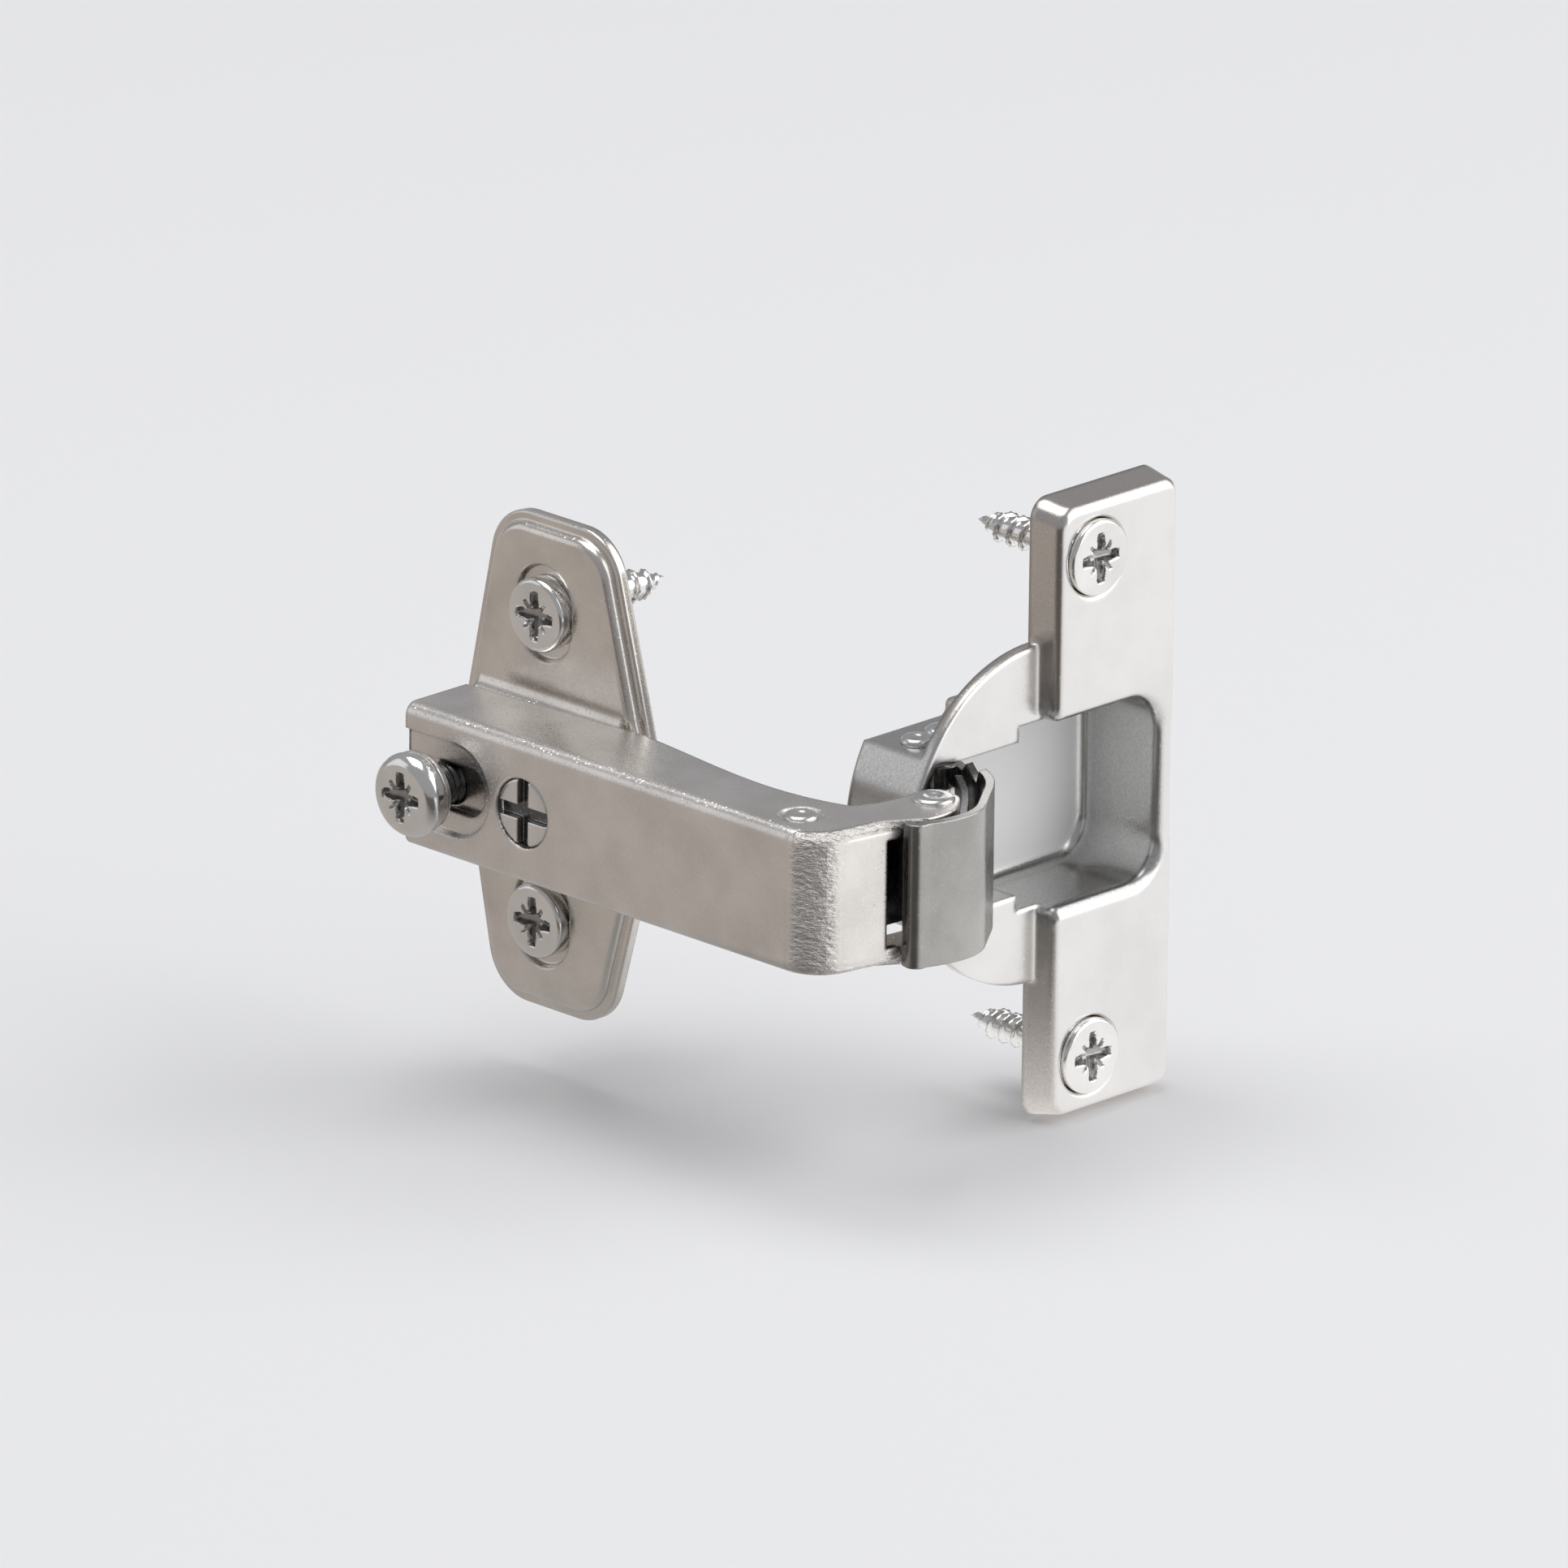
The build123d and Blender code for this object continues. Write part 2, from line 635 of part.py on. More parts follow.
# Cup: one drawn piece with the pocket, the raised flange and the low wings round it
flange_block_left = flange_left - cup_radius
pocket_inside = pocket_plan(0, 0)
pocket_outside = pocket_plan(cup_sheet, pocket_shoulder)
with BuildPart() as hinge_cup:
    with BuildSketch(Plane.YZ.offset(door_face)):
        with Locations(((flange_block_left + flange_right) / 2, 0)):
            RectangleRounded(flange_right - flange_block_left, 2 * flange_half, flange_corner)
    extrude(amount=flange_top - door_face, taper=flange_draft)
    with BuildSketch(Plane.YZ.offset(door_face)) as mouth_plan:
        with Locations((cup_centre_y, 0)):
            Circle(bore_radius)
        with Locations((pocket_end, 0)):
            Rectangle(4 * cup_radius, 2 * pocket_half, align=(Align.MAX, Align.CENTER), mode=Mode.INTERSECT)
        fillet(mouth_plan.vertices(), end_corner)
    extrude(amount=flange_top - door_face, mode=Mode.SUBTRACT)
    mouth = hinge_cup.faces().sort_by(Axis.X)[-1].inner_wires()[0].edges()
    fillet(mouth, mouth_round)
    with BuildSketch(Plane.YZ.offset(door_face)):
        with Locations((flange_left, 0)):
            Rectangle(2 * cup_radius, 4 * flange_half, align=(Align.MAX, Align.CENTER))
    extrude(amount=flange_top - door_face, taper=-flange_draft, mode=Mode.SUBTRACT)
    left_corners = hinge_cup.edges().filter_by(
        lambda edge: abs(edge.center().Z) > pocket_half + mouth_round + 2 * gap
        and edge.center().Y < flange_left + 1
        and edge.length < 2 * (flange_top - door_face)
    )
    fillet(left_corners, flange_corner)
    top_edges = hinge_cup.faces().sort_by(Axis.X)[-1].edges()
    mouth_reach = mouth_round + slip
    rim = top_edges.filter_by(
        lambda edge: abs(edge.center().Z) > pocket_half + mouth_reach
        or edge.center().Y > pocket_end + mouth_reach
    )
    fillet(rim, flange_edge)
    with BuildSketch(Plane.YZ.offset(door_face)):
        with Locations(((flange_left + flange_right) / 2, 0)):
            RectangleRounded(
                flange_right - flange_left - 2 * flange_sheet,
                2 * flange_half - 2 * flange_sheet,
                flange_corner - flange_sheet / 2,
            )
    extrude(amount=rear_flange - door_face, taper=flange_draft, mode=Mode.SUBTRACT)
    with BuildSketch(Plane.YZ.offset(door_face)):
        with Locations((cup_centre_y, 0)):
            Circle(cup_radius)
        with Locations((flange_left + flange_sheet, 0)):
            Rectangle(2 * cup_radius, 4 * cup_radius, align=(Align.MIN, Align.CENTER), mode=Mode.SUBTRACT)
    extrude(amount=wing_sheet)
    with BuildSketch(Plane.YZ.offset(floor_x - cup_sheet)):
        add(pocket_outside)
    extrude(amount=wing_top - floor_x + cup_sheet)
    with BuildSketch(Plane.YZ.offset(wing_top)):
        add(pocket_outside)
        with Locations((flange_left + flange_sheet, 0)):
            Rectangle(2 * cup_radius, 4 * cup_radius, align=(Align.MAX, Align.CENTER), mode=Mode.SUBTRACT)
    extrude(amount=rear_flange - wing_top)
    floor_edge = hinge_cup.faces().sort_by(Axis.X)[0].edges()
    fillet(floor_edge, underside_round)
    with BuildSketch(Plane.YZ.offset(floor_x)):
        add(pocket_inside)
    extrude(amount=rear_flange - floor_x, mode=Mode.SUBTRACT)
    floor_edges = hinge_cup.edges().filter_by_position(Axis.X, floor_x, floor_x)
    fillet(floor_edges.filter_by(lambda edge: edge.center().Y > pocket_neck_end + gap), floor_round)
    with BuildSketch(Plane.XY):
        with Locations(inner_pin, outer_pin):
            Circle(cup_pin_radius)
    extrude(amount=cup_radius, both=True, mode=Mode.SUBTRACT)
    for side in (1, -1):
        with BuildSketch(Plane.YZ.offset(flange_top)):
            with Locations((cup_screw_y, side * cup_screw_spacing / 2)):
                Circle(cup_sink_radius)
        extrude(amount=-flange_sheet, taper=sink_angle, mode=Mode.SUBTRACT)
hinge_cup.part.label = "hinge_cup"
export_step(hinge_cup.part, "parts/hinge_cup.step")

# Cup pins, riveted over on the outside of the pocket's narrow end
cup_pins = {}
for place, centre in (("inner", inner_pin), ("outer", outer_pin)):
    cup_pins[place] = through_pin(
        centre, cup_pin_radius, pocket_wall_half, cup_pin_head_radius, cup_pin_head_height
    )
    cup_pins[place].label = f"cup_pin_{place}"
    export_step(cup_pins[place], f"parts/cup_pin_{place}.step")

# Cup screws
for place, height in (("upper", cup_screw_spacing / 2), ("lower", -cup_screw_spacing / 2)):
    cup_seat = Plane((flange_top - cup_head_sink, cup_screw_y, height), x_dir=(0, 1, 0), z_dir=(1, 0, 0))
    cup_cone = cup_head_radius - screw_radius
    cup_screw = chipboard_screw(
        cup_seat,
        cup_head_radius,
        cup_head_height,
        cup_head_crown,
        cup_head_radius,
        cup_cone,
        sink_angle,
    )
    cup_screw.label = f"cup_screw_{place}"
    export_step(cup_screw, f"parts/cup_screw_{place}.step")
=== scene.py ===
# %% [markdown]
# # A concealed hinge, dressed
#
# The hinge is a few stampings, two links, a drawn cup, four pins and six screws. The CAD model
# gives every shape its size and place, and it is loaded first as a fixed frame. This notebook
# adds what a CAD model leaves plain: screw threads, worn recesses, riveted pin heads and the
# metal itself.

# %% Load the frame
from math import radians

import bpy
import numpy as np
from mathutils import Matrix, Vector


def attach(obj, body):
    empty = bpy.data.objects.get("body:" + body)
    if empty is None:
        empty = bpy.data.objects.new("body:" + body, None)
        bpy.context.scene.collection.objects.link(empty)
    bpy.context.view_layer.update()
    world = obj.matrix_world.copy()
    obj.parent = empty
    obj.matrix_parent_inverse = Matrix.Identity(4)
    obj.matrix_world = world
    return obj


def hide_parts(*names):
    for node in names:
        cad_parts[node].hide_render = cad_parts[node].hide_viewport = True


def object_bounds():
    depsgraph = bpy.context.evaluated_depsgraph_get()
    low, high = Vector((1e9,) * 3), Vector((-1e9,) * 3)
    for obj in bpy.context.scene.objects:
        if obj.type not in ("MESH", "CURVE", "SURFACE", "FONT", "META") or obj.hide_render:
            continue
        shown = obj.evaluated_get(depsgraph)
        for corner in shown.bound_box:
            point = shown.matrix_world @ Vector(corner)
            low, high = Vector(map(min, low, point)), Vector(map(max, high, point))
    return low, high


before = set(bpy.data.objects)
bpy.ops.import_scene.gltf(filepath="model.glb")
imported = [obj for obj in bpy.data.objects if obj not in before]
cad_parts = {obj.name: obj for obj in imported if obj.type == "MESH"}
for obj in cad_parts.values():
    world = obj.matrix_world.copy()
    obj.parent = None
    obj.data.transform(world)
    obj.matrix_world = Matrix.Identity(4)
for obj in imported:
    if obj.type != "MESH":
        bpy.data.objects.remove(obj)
cad_box = [list(corner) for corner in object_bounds()]
MM = 0.001
print("CAD nodes:", sorted(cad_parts))

# %% [markdown]
# ## Where the CAD pieces stand
#
# Dressed screws and pins take the places of plain CAD ones. Those places could be typed in once
# more, but they are read from the frame instead, so the dressing follows when the CAD changes.


# %% Box of a node
def corners_of(node):
    """The low and the high corner of the box round a CAD node, in mm to a hundredth."""
    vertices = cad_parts[node].data.vertices
    points = np.empty(3 * len(vertices))
    vertices.foreach_get("co", points)
    points = points.reshape(-1, 3) / MM
    return points.min(axis=0).round(2), points.max(axis=0).round(2)


def middle_of(node):
    low, high = corners_of(node)
    return ((low + high) / 2).round(2)


print("hinge cup from", *corners_of("hinge_cup"), "mm")

# %% [markdown]
# ## The camera
#
# The real picture was taken with a long lens, so parallel edges stay nearly parallel. The camera
# stands two metres away, 44 degrees round from the front and 19 degrees up, and its lens is long
# enough for the hinge to take the same share of the frame.

# %% Camera
AZIMUTH, ELEVATION, ROLL = radians(44.43), radians(19.07), radians(0.65)
TARGET = np.array([20.0, -8.0, 0.0])
DISTANCE, SHIFT_RIGHT, SHIFT_UP = 2157.9, 13.88, 4.34
FOCAL_PIXELS, FRAME_PIXELS, SENSOR = 27060.0, 1932.0, 36.0

back = np.array([
    np.sin(AZIMUTH) * np.cos(ELEVATION),
    -np.cos(AZIMUTH) * np.cos(ELEVATION),
    np.sin(ELEVATION),
])
level = np.array([np.cos(AZIMUTH), np.sin(AZIMUTH), 0.0])
upright = np.cross(back, level)
right = level * np.cos(ROLL) + upright * np.sin(ROLL)
up = upright * np.cos(ROLL) - level * np.sin(ROLL)
place = (TARGET + back * DISTANCE + right * SHIFT_RIGHT + up * SHIFT_UP) * MM

lens = bpy.data.cameras.new("camera")
lens.sensor_width = SENSOR
lens.lens = FOCAL_PIXELS / FRAME_PIXELS * SENSOR
lens.clip_start, lens.clip_end = 0.1, 50.0
camera = bpy.data.objects.new("camera", lens)
camera.matrix_world = Matrix([
    [right[0], up[0], back[0], place[0]],
    [right[1], up[1], back[1], place[1]],
    [right[2], up[2], back[2], place[2]],
    [0, 0, 0, 1],
])
bpy.context.scene.collection.objects.link(camera)
bpy.context.scene.camera = camera
print("lens", round(lens.lens, 1), "mm")

# %% [markdown]
# ## Small helpers for node materials
#
# A material is a graph of nodes, and each of its steps takes a few lines of Blender's own calls.
# A small class keeps the graphs readable: its add() makes a node with its inputs and settings, and
# the steps that come up most, such as arithmetic, ramps, mixes and noise, have a method each.


# %% Node helpers
class Graph:
    """A node tree being built. An input may be a value or another node's output."""

    def __init__(self, tree):
        self.tree = tree
        tree.nodes.clear()

    def add(self, kind, inputs=(), **settings):
        node = self.tree.nodes.new(kind)
        for name, value in settings.items():
            setattr(node, name, value)
        for name, value in dict(inputs).items():
            if isinstance(value, bpy.types.NodeSocket):
                self.tree.links.new(value, node.inputs[name])
            else:
                node.inputs[name].default_value = value
        return node

    def link(self, output, node_input):
        self.tree.links.new(output, node_input)

    def math(self, operation, first, second=0.0):
        return self.add("ShaderNodeMath", {0: first, 1: second}, operation=operation).outputs[0]

    def vector(self, operation, first, second):
        node = self.add("ShaderNodeVectorMath", {0: first, 1: second}, operation=operation)
        return node.outputs["Vector"]

    def ramp(self, value, low, high, low_to=0.0, high_to=1.0):
        """Value from low to high, carried over to low_to to high_to and held there."""
        node = self.add(
            "ShaderNodeMapRange",
            {"Value": value, "From Min": low, "From Max": high, "To Min": low_to, "To Max": high_to},
            clamp=True,
        )
        return node.outputs["Result"]

    def mix(self, share, first, second):
        """A mix of two colours. A Mix node also has sockets for numbers and vectors: those for
        colours are inputs 6 and 7 and output 2."""
        node = self.add("ShaderNodeMix", {"Factor": share}, data_type="RGBA")
        for socket, value in ((node.inputs[6], first), (node.inputs[7], second)):
            if isinstance(value, bpy.types.NodeSocket):
                self.link(value, socket)
            else:
                socket.default_value = value
        return node.outputs[2]

    def noise(self, coordinates, grain_mm, detail, roughness=0.5):
        """Noise whose blotches are about grain_mm across."""
        inputs = {"Vector": coordinates, "Scale": 1 / (grain_mm * MM), "Detail": detail}
        return self.add("ShaderNodeTexNoise", {**inputs, "Roughness": roughness}).outputs["Fac"]


# %% [markdown]
# ## Nickel, zinc and steel
#
# The arm and plate are nickel over a grainy steel: warm grey, with a fine pebble that glitters.
# The cup is brighter. All are metals, so the colour sits in the reflection, and what makes each
# one recognisable is the size of its grain, how rough it is, and the highlight painted along its edges.
# They could be painted with pictures of metal, but a picture would slide or blur on small pieces,
# so each is worked out from noise at its real grain size. Sizes here are in millimetres.

# %% Sizes of the grain, and colours of painted glint, highlight and shade
GRAIN, BLOTCH, FLECK = 0.22, 7.0, 0.12
GRAIN_HEIGHT = 0.004
PAINTED_GLINT = (0.97, 0.96, 0.94, 1.0)
# A near white for edges, a painted highlight.
EDGE_HIGHLIGHT = (0.93, 0.92, 0.9, 1.0)
# A dark colour for the side screw where it sits in its hole, a painted shade.
SUNK_SHADE = (0.12, 0.12, 0.12, 1.0)

# %% [markdown]
# ## Edge highlights
#
# Edges are painted bright, a painted highlight for the bright lines that edges catch. They could
# be painted by hand or marked on the mesh. A softened normal finds them with neither, because it
# leaves the true normal only near an edge, and the grain then breaks the highlight up.

# %% Edge highlight
EDGE = 0.22


def painted_edge_highlight(graph, grain, highlight):
    """A painted highlight, from 0 on flats to the given share along edges: the dot product of the
    softened and the true normal, carried from 0.97 to 0.86, times a share of 0.2 to 1 that follows the
    grain."""
    soft_normal = graph.add("ShaderNodeBevel", {"Radius": EDGE * MM}, samples=4).outputs["Normal"]
    true_normal = graph.add("ShaderNodeNewGeometry").outputs["Normal"]
    turn = graph.add("ShaderNodeVectorMath", {0: soft_normal, 1: true_normal}, operation="DOT_PRODUCT")
    edge = graph.ramp(turn.outputs["Value"], 0.97, 0.86, 0.0, highlight)
    return graph.math("MULTIPLY", edge, graph.ramp(grain, 0.4, 0.6, 0.2, 1.0))


# %% [markdown]
# ## Painted light on the drawn cup
#
# A press draws the cup from flat strip, and its flange keeps the strip's bright skin. Its walls are
# painted duller, a painted shade: warm outside and greyer in the pocket. Its bottom is painted white,
# matt and not metal, a painted highlight for the light that it reflects from the front. One mesh
# carries all of them, so masks tell them apart by the way that a face looks and by where it lies.

# %% Cup zones
POCKET_HALF, POCKET_END = 11.3, 39.6
ABOVE_BOTTOM, BOTTOM = 38.5, 36.5
# A near white for the pocket's bottom, a painted highlight.
PAINTED_BRIGHT_BOTTOM = (0.97, 0.97, 0.97, 1.0)


def cup_painted_light(graph, place, facing, grain, base, roughness, wall, well):
    """Colour, roughness and metalness of a cup that opens along X. Faces whose normal leaves X
    get a painted shade: the well colour within the pocket, and the wall colour beyond its half
    breadth in Z or its end in Y. Faces along X below the flange are the bottom, painted white, matt
    and not metal, a painted highlight."""
    aside = graph.math("ABSOLUTE", place.outputs["Z"])
    outside = graph.math(
        "MAXIMUM",
        graph.ramp(aside, POCKET_HALF * MM, (POCKET_HALF + 0.5) * MM),
        graph.ramp(place.outputs["Y"], POCKET_END * MM, (POCKET_END + 0.3) * MM),
    )
    stretched = graph.ramp(grain, 0.3, 0.6, 0.6, 1.0)
    # Faces that turn away from X are painted towards the wall or well colour, a painted shade.
    shaded_side = graph.math("MULTIPLY", graph.ramp(facing, 0.97, 0.7), stretched)
    base = graph.mix(shaded_side, base, graph.mix(outside, (*well, 1.0), (*wall, 1.0)))
    # The bottom is painted near white, rougher and not metal, a painted highlight.
    bottom = graph.ramp(place.outputs["X"], ABOVE_BOTTOM * MM, BOTTOM * MM)
    bottom = graph.math("MULTIPLY", bottom, graph.ramp(facing, 0.8, 0.95))
    base = graph.mix(bottom, base, PAINTED_BRIGHT_BOTTOM)
    roughness = graph.math("ADD", roughness, graph.math("MULTIPLY", bottom, 0.3))
    return base, roughness, graph.ramp(bottom, 0.0, 1.0, 1.0, 0.0)


# %% [markdown]
# ## A wrinkled bend
#
# The arm is plated flat and bent later, so the skin outside the bend wrinkles and cracks a
# little. The wrinkles could be modelled, but they are a tenth of a millimetre deep. They are
# heights for the bump instead, only where the surface turns, and they are painted dark where
# they are lowest, a painted shade in the creases.

# %% Bend wrinkles
WRINKLE, SQUEEZE = 0.9, (1, 1, 2.2)
# A dark colour for the lowest parts of the wrinkles, a painted shade in the creases.
CREASE_SHADE = (0.2, 0.18, 0.165, 1.0)


def wrinkled_bend(graph, spot, facing, base, roughness, heights, wrinkle_mm):
    """Colour, roughness and heights with a bend's wrinkles. The bend is where the X of the normal
    is between 0.1 and 0.95. Its noise is shorter along Z, wrinkle_mm high, painted dark where it is
    lowest as a painted shade in the creases, and 0.15 rougher all over."""
    bent = graph.math("MULTIPLY", graph.ramp(facing, 0.1, 0.3), graph.ramp(facing, 0.95, 0.8))
    squeezed = graph.vector("MULTIPLY", spot, SQUEEZE)
    wrinkles = graph.noise(squeezed, WRINKLE, detail=4.0, roughness=0.6)
    # The lowest parts of the wrinkles are painted dark, a painted shade in the creases.
    crease_shade = graph.math("MULTIPLY", bent, graph.ramp(wrinkles, 0.45, 0.36, 0.0, 0.3))
    base = graph.mix(crease_shade, base, CREASE_SHADE)
    roughness = graph.math("ADD", roughness, graph.math("MULTIPLY", bent, 0.15))
    raised = graph.math("MULTIPLY", wrinkles, graph.math("MULTIPLY", bent, wrinkle_mm))
    return base, roughness, graph.math("ADD", heights, raised)


# %% [markdown]
# ## Glitter
#
# Nickel over grainy steel glitters, because some of its crystals lie at a slant and catch a lamp
# that the rest of the face doesn't. A mosaic of tiny cells stands for them. One cell in twenty
# is a fleck, and its own random colour says which way it leans. A fleck's colour is also
# painted brighter, a painted glint.

# %% Flecks
RARE, RAREST = 0.95, 0.98
LEAN = 0.45


def flecks_of(graph, spot, fleck):
    """A mosaic of cells, and its mask of flecks: 0 for most cells, up to fleck for the rarest."""
    mosaic = graph.add("ShaderNodeTexVoronoi", {"Vector": spot, "Scale": 1 / (FLECK * MM)})
    chance = graph.add("ShaderNodeSeparateColor", {"Color": mosaic.outputs["Color"]}).outputs[0]
    return mosaic.outputs["Color"], graph.ramp(chance, RARE, RAREST, 0.0, fleck)


def glittering(graph, normal, cell_colour, flecks):
    """The normal plus the cell's colour, less a half, times the fleck's lean, made one long."""
    lean = graph.vector("SUBTRACT", cell_colour, (0.5, 0.5, 0.5))
    lean = graph.vector("MULTIPLY", lean, graph.math("MULTIPLY", flecks, LEAN))
    return graph.vector("NORMALIZE", graph.vector("ADD", normal, lean), (0, 0, 0))


# %% [markdown]
# ## One plated metal
#
# One function makes every metal of the hinge, so they stay related, and its arguments are what
# differs between them: colour, roughness, the size of the pebble and how much stain, painted glint,
# painted highlight and painted shade there is.


# %% Plated metal
def plated(name, colour, rough, pebble_mm, pebble_height_mm, fleck=0.5, highlight=0.5, stain=0.15,
           wall=None, well=None, sunk=None, grain_stretch=(1, 1, 1), wrinkle_mm=0.0, press_mm=0.3):
    """A plated metal. Colour varies slowly with noise, and roughness with a fine grain. Flecks
    and edges are smoother and painted brighter, a painted glint and a painted highlight. Bump adds
    the heights of pebble and grain to a normal that carries each pressed shoulder over press_mm on
    both sides, as a press leaves no sharp edge. A wall and a well colour give a cup's painted shade
    and its painted bright bottom, wrinkle_mm gives its bend wrinkles with painted shade in the creases,
    and along Y it is painted darker over the range sunk, a painted shade."""
    material = bpy.data.materials.new(name)
    material.use_nodes = True
    graph = Graph(material.node_tree)
    coordinates = graph.add("ShaderNodeTexCoord")
    spot = coordinates.outputs["Object"]
    facing = graph.add("ShaderNodeSeparateXYZ", {"Vector": coordinates.outputs["Normal"]}).outputs["X"]
    place = graph.add("ShaderNodeSeparateXYZ", {"Vector": spot})

    slow = graph.noise(spot, BLOTCH, detail=4.0)
    grain = graph.noise(graph.vector("MULTIPLY", spot, grain_stretch), GRAIN, detail=3.0, roughness=0.65)
    pebble = graph.noise(spot, pebble_mm, detail=1.5)
    cell_colour, flecks = flecks_of(graph, spot, fleck)
    edge_lit = painted_edge_highlight(graph, grain, highlight)

    dark = [channel * (1 - stain) for channel in colour] + [1.0]
    light = [min(1.0, channel * (1 + 0.5 * stain)) for channel in colour] + [1.0]
    base = graph.mix(graph.ramp(slow, 0.35, 0.65), dark, light)
    roughness = graph.ramp(grain, 0.3, 0.7, rough * 0.75, rough * 1.25)
    metal = 1.0
    # A cup's walls get a painted shade and its bottom a painted highlight.
    if wall:
        base, roughness, metal = cup_painted_light(graph, place, facing, grain, base, roughness, wall, well)
    # Along Y past the range sunk, the colour is painted dark, a painted shade.
    if sunk:
        base = graph.mix(graph.ramp(place.outputs["Y"], sunk[0] * MM, sunk[1] * MM), base, SUNK_SHADE)
    # Flecks are painted brighter towards a near white, a painted glint.
    base = graph.mix(graph.math("MULTIPLY", flecks, 0.4), base, PAINTED_GLINT)
    # Edges are painted towards a near white, a painted highlight, and made smoother.
    base = graph.mix(edge_lit, base, EDGE_HIGHLIGHT)
    roughness = graph.math("SUBTRACT", roughness, graph.math("MULTIPLY", flecks, 0.5 * rough))
    roughness = graph.math("SUBTRACT", roughness, graph.math("MULTIPLY", edge_lit, 0.4 * rough))

    heights = graph.math("MULTIPLY", pebble, pebble_height_mm)
    heights = graph.math("ADD", heights, graph.math("MULTIPLY", grain, GRAIN_HEIGHT))
    if wrinkle_mm:
        base, roughness, heights = wrinkled_bend(
            graph, spot, facing, base, roughness, heights, wrinkle_mm
        )
    pressed = graph.add("ShaderNodeBevel", {"Radius": press_mm * MM}, samples=8).outputs["Normal"]
    bump = graph.add(
        "ShaderNodeBump", {"Strength": 1.0, "Distance": MM, "Height": heights, "Normal": pressed}
    )
    normal = glittering(graph, bump.outputs["Normal"], cell_colour, flecks)
    shader = graph.add(
        "ShaderNodeBsdfPrincipled",
        {"Base Color": base, "Roughness": roughness, "Metallic": metal, "Normal": normal},
    )
    graph.add("ShaderNodeOutputMaterial", {"Surface": shader.outputs["BSDF"]})
    return material


# %% [markdown]
# ## The hinge's finishes
#
# The arm, plate, links and cup come from different strips, so each has its own nickel. The links'
# is plain and dull, with a grain drawn out along the pins by rolling. The screws and pins are
# turned parts. Their recesses are a darker zinc, a painted shade, and the clamp screw's thread is
# a near-black steel, a painted shadow.

# %% Finishes
arm_nickel = plated(
    "arm nickel", (0.80, 0.765, 0.735), 0.30, 1.1, 0.010,
    fleck=0.8, highlight=0.35, stain=0.1, wrinkle_mm=0.45, press_mm=0.5,
)
plate_nickel = plated(
    "plate nickel", (0.75, 0.71, 0.67), 0.24, 1.4, 0.008, fleck=0.6, highlight=0.4, stain=0.12, press_mm=0.45,
)
link_nickel = plated(
    "link nickel", (0.43, 0.42, 0.405), 0.28, 0.6, 0.004, fleck=0.3, highlight=0.4, grain_stretch=(1, 1, 0.08),
)
# The wall and well colours are a painted shade on the cup's walls and pocket.
cup_nickel = plated(
    "cup nickel", (0.81, 0.80, 0.79), 0.22, 1.6, 0.012, fleck=0.35, highlight=0.3, stain=0.05,
    wall=(0.62, 0.575, 0.535), well=(0.52, 0.515, 0.505), press_mm=0.9,
)
pin_steel = plated("pin steel", (0.72, 0.71, 0.70), 0.24, 0.5, 0.004, fleck=0.3, highlight=0.4)
spring_steel = plated("spring steel", (0.16, 0.16, 0.17), 0.30, 0.8, 0.004, fleck=0.2, highlight=0.2)
screw_zinc = plated("screw zinc", (0.84, 0.83, 0.82), 0.14, 0.7, 0.006, fleck=0.4, highlight=0.4, stain=0.1)
# The darker zinc of the recesses is a painted shade.
recess_shade_zinc = plated("recess shade zinc", (0.40, 0.39, 0.38), 0.22, 0.4, 0.01, fleck=0.5, highlight=0.6)
# Near-black steel for the clamp screw's thread, a painted shadow where it sits in the slot.
shaded_thread_steel = plated("shaded thread steel", (0.09, 0.09, 0.09), 0.30, 0.5, 0.008, fleck=0.4, highlight=0.5)
# The side screw is painted dark from 0.5 to 0.8 mm behind the front of its node on, a painted shade
# where it sits in its hole.
side_face = corners_of("side_screw")[0][1]
side_zinc = plated(
    "side zinc", (0.80, 0.79, 0.78), 0.16, 0.7, 0.006, highlight=0.6, sunk=(side_face + 0.5, side_face + 0.8),
)


def finish_node(node, material):
    """Puts one material on a CAD node, in place of the plain one that it came with."""
    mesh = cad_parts[node].data
    mesh.materials.clear()
    mesh.materials.append(material)


finishes = {
    "mounting_plate": plate_nickel,
    "hinge_arm": arm_nickel,
    "outer_link": link_nickel,
    "inner_link": link_nickel,
    "closing_spring": spring_steel,
    "hinge_cup": cup_nickel,
    "side_screw": side_zinc,
}
for node, material in finishes.items():
    finish_node(node, material)
print(len(finishes), "nodes keep their CAD shape and get a metal")

# %% [markdown]
# ## Surfaces of one sweep
#
# A screw or a rivet is turned on a lathe, so its surface is a profile carried round an axis. A
# grid of points does the same: rows follow the profile from the middle of the head to the tip,
# and columns go round. Where the real piece isn't round, as at a recess or a thread, the radius
# or the height becomes a function of both, and the same grid carries it.

# %% Grid to mesh
# For each face: plated, darker zinc as a painted shade in a recess, or near-black steel as a painted
# shadow on a thread.
PLATED, SHADED_RECESS, SHADED_THREAD = 0, 1, 2


